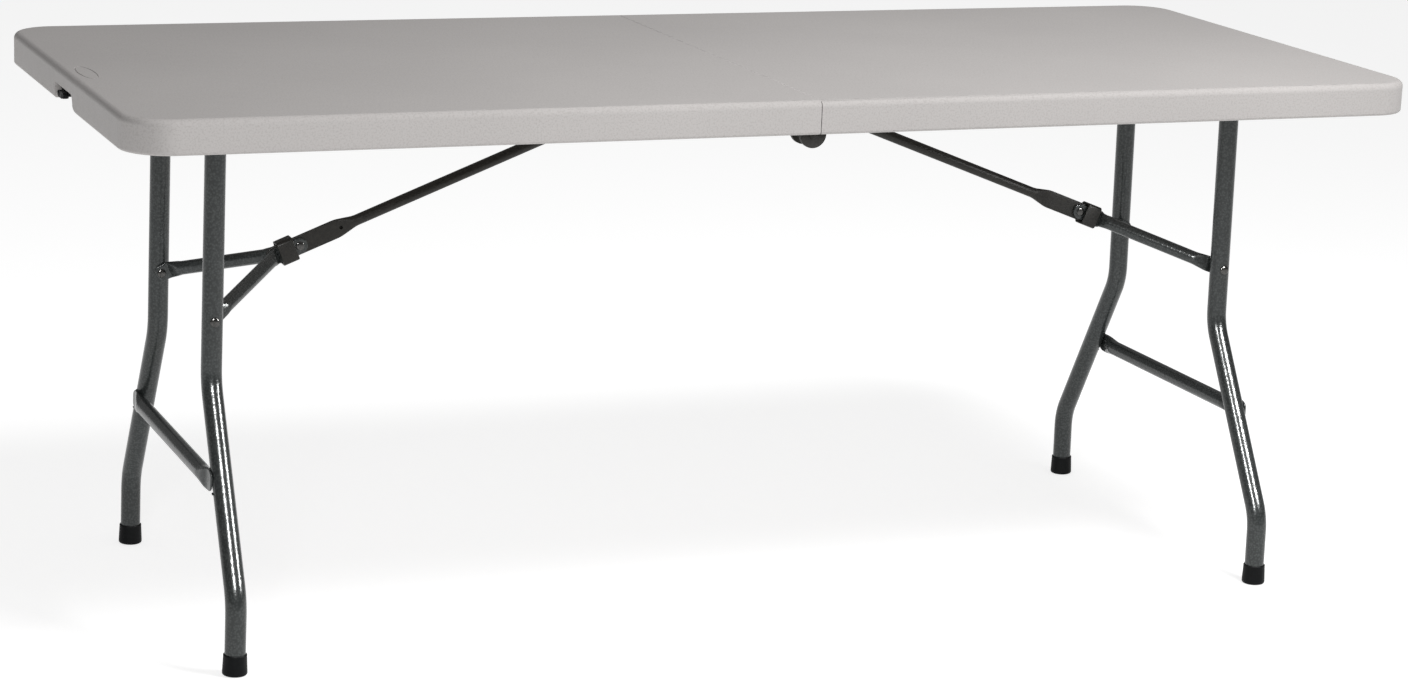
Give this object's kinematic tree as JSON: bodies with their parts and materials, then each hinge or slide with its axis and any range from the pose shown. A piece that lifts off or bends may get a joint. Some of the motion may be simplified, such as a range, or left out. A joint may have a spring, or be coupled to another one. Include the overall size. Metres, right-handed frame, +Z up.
{
  "type": "folding table",
  "caption": "Long rectangular bi-fold table with a pale moulded plastic top, rounded corners and folding grey steel leg frames held by locking braces.",
  "frame": {"origin": "on the floor, under the middle of the table top", "axes": "+X along the table's length towards the right half, +Y towards the back edge, +Z up"},
  "size_m": [1.829, 0.762, 0.743],
  "materials": {
    "panel": "light warm grey moulded polyethylene with a fine pebbled surface and faint dark flecks",
    "coated_steel": "dark grey hammered powder coat on steel tube",
    "dark_steel": "near black satin powder coat on steel",
    "black_plastic": "matte black moulded plastic",
    "rivet_steel": "bright zinc plated rivets"
  },
  "bodies": {
    "left_half": {"left_panel": "panel", "left_brace_bracket": "dark_steel", "left_brace_pin": "rivet_steel", "left_rail_front": "dark_steel", "left_rail_back": "dark_steel", "left_hinge_leaf_front": "dark_steel", "left_hinge_leaf_back": "dark_steel", "hinge_pin_front": "dark_steel", "hinge_pin_back": "dark_steel", "latch_bar": "black_plastic", "latch_pin": "rivet_steel"},
    "right_half": {"right_panel": "panel", "right_brace_bracket": "dark_steel", "right_brace_pin": "rivet_steel", "right_rail_front": "dark_steel", "right_rail_back": "dark_steel", "right_hinge_leaf_front": "dark_steel", "right_hinge_leaf_back": "dark_steel", "latch_keeper": "black_plastic"},
    "left_legs": {"left_pivot_tube": "coated_steel", "left_crossbar": "coated_steel", "left_leg_front": "coated_steel", "left_leg_back": "coated_steel", "left_foot_cap_front": "black_plastic", "left_foot_cap_back": "black_plastic", "left_leg_rivet_front": "rivet_steel", "left_leg_rivet_back": "rivet_steel"},
    "left_upper_brace": {"left_upper_link": "dark_steel", "left_knee_rivet": "rivet_steel"},
    "left_lower_brace": {"left_strut_front": "coated_steel", "left_strut_back": "coated_steel", "left_strut_rivet_front": "rivet_steel", "left_strut_rivet_back": "rivet_steel"},
    "left_lock_ring": {"left_lock_ring": "dark_steel"},
    "right_legs": {"right_pivot_tube": "coated_steel", "right_crossbar": "coated_steel", "right_leg_front": "coated_steel", "right_leg_back": "coated_steel", "right_foot_cap_front": "black_plastic", "right_foot_cap_back": "black_plastic", "right_leg_rivet_front": "rivet_steel", "right_leg_rivet_back": "rivet_steel"},
    "right_upper_brace": {"right_upper_link": "dark_steel", "right_knee_rivet": "rivet_steel"},
    "right_lower_brace": {"right_strut_front": "coated_steel", "right_strut_back": "coated_steel", "right_strut_rivet_front": "rivet_steel", "right_strut_rivet_back": "rivet_steel"},
    "right_lock_ring": {"right_lock_ring": "dark_steel"},
    "latch_hook": {"latch_hook": "black_plastic"}
  },
  "joints": [
    {"name": "centre_fold", "type": "hinge", "parent": "left_half", "child": "right_half", "pos_m": [0, 0, 0.6944], "axis": [0, 1, 0], "range_deg": [0, 80]},
    {"name": "left_leg_fold", "type": "hinge", "parent": "left_half", "child": "left_legs", "pos_m": [-0.7478, 0, 0.716], "axis": [0, -1, 0], "range_deg": [0, 89.6]},
    {"name": "left_upper_brace_turn", "type": "hinge", "parent": "left_half", "child": "left_upper_brace", "pos_m": [-0.036, 0, 0.714], "axis": [0, -1, 0], "range_deg": [-20.84, 0]},
    {"name": "left_knee_turn", "type": "hinge", "parent": "left_upper_brace", "child": "left_lower_brace", "pos_m": [-0.59443, 0, 0.49624], "axis": [0, -1, 0], "range_deg": [0, 180.01]},
    {"name": "left_ring_slide", "type": "slide", "parent": "left_upper_brace", "child": "left_lock_ring", "axis": [0.9317, 0, 0.3633], "range_m": [0, 0.2972]},
    {"name": "right_leg_fold", "type": "hinge", "parent": "right_half", "child": "right_legs", "pos_m": [0.7478, 0, 0.716], "axis": [0, 1, 0], "range_deg": [0, 89.6]},
    {"name": "right_upper_brace_turn", "type": "hinge", "parent": "right_half", "child": "right_upper_brace", "pos_m": [0.036, 0, 0.714], "axis": [0, 1, 0], "range_deg": [-20.84, 0]},
    {"name": "right_knee_turn", "type": "hinge", "parent": "right_upper_brace", "child": "right_lower_brace", "pos_m": [0.59443, 0, 0.49624], "axis": [0, 1, 0], "range_deg": [0, 180.01]},
    {"name": "right_ring_slide", "type": "slide", "parent": "right_upper_brace", "child": "right_lock_ring", "axis": [-0.9317, 0, 0.3633], "range_m": [0, 0.2972]},
    {"name": "latch_swing", "type": "hinge", "parent": "left_half", "child": "latch_hook", "pos_m": [-0.9085, 0.04, 0.706], "axis": [1, 0, 0], "range_deg": [0, 90]}
  ],
  "couplings": [
    {"joint": "left_upper_brace_turn", "follows": "left_leg_fold", "ratio": -0.23243},
    {"joint": "left_knee_turn", "follows": "left_leg_fold", "ratio": 2.0089},
    {"joint": "left_ring_slide", "follows": "left_leg_fold", "m_per_rad": 0.19},
    {"joint": "right_upper_brace_turn", "follows": "right_leg_fold", "ratio": -0.23243},
    {"joint": "right_knee_turn", "follows": "right_leg_fold", "ratio": 2.0089},
    {"joint": "right_ring_slide", "follows": "right_leg_fold", "m_per_rad": 0.19}
  ]
}
